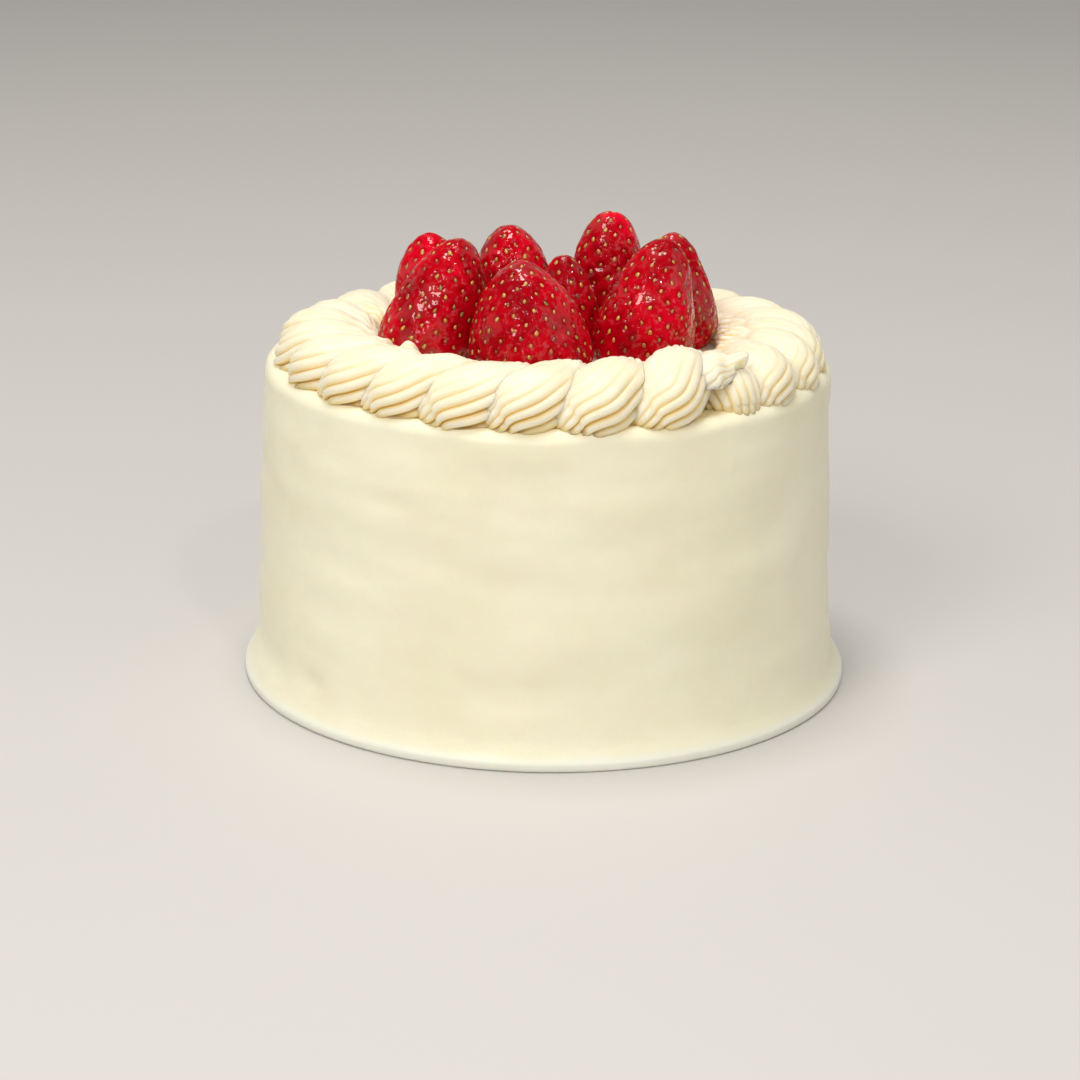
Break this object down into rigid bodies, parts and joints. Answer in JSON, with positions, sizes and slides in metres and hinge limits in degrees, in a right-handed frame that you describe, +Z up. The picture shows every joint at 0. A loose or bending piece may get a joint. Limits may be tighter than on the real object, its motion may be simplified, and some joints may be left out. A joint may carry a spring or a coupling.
{
  "type": "strawberry cake",
  "caption": "Tall round cake coated in smooth ivory cream, with a piped ring of cream shells on top and a cluster of whole glazed strawberries standing tip up inside it.",
  "frame": {"origin": "centre of the flat underside, where the cake stands", "axes": "+Z up, -Y towards the front of the cake, +X to the right as seen from the front"},
  "size_m": [0.1656, 0.1656, 0.1226],
  "materials": {
    "cream_coat": "smooth cream coat, soft sheen",
    "piped_cream": "whipped piped cream, soft sheen",
    "glazed_strawberry": "wet glaze, high gloss"
  },
  "bodies": {
    "root": {"cake_body": "cream_coat", "shell_01": "piped_cream", "shell_02": "piped_cream", "shell_03": "piped_cream", "shell_04": "piped_cream", "shell_05": "piped_cream", "shell_06": "piped_cream", "shell_07": "piped_cream", "shell_08": "piped_cream", "shell_09": "piped_cream", "shell_10": "piped_cream", "shell_11": "piped_cream", "shell_12": "piped_cream", "shell_13": "piped_cream", "shell_14": "piped_cream", "shell_15": "piped_cream", "shell_16": "piped_cream", "shell_17": "piped_cream", "shell_18": "piped_cream", "shell_19": "piped_cream", "shell_20": "piped_cream", "shell_21": "piped_cream", "shell_22": "piped_cream", "shell_23": "piped_cream", "shell_24": "piped_cream", "shell_25": "piped_cream", "strawberry_front": "glazed_strawberry", "strawberry_left": "glazed_strawberry", "strawberry_right": "glazed_strawberry", "strawberry_centre": "glazed_strawberry", "strawberry_back_left": "glazed_strawberry", "strawberry_back_right": "glazed_strawberry", "strawberry_rear_left": "glazed_strawberry", "strawberry_rear_right": "glazed_strawberry"}
  },
  "joints": []
}
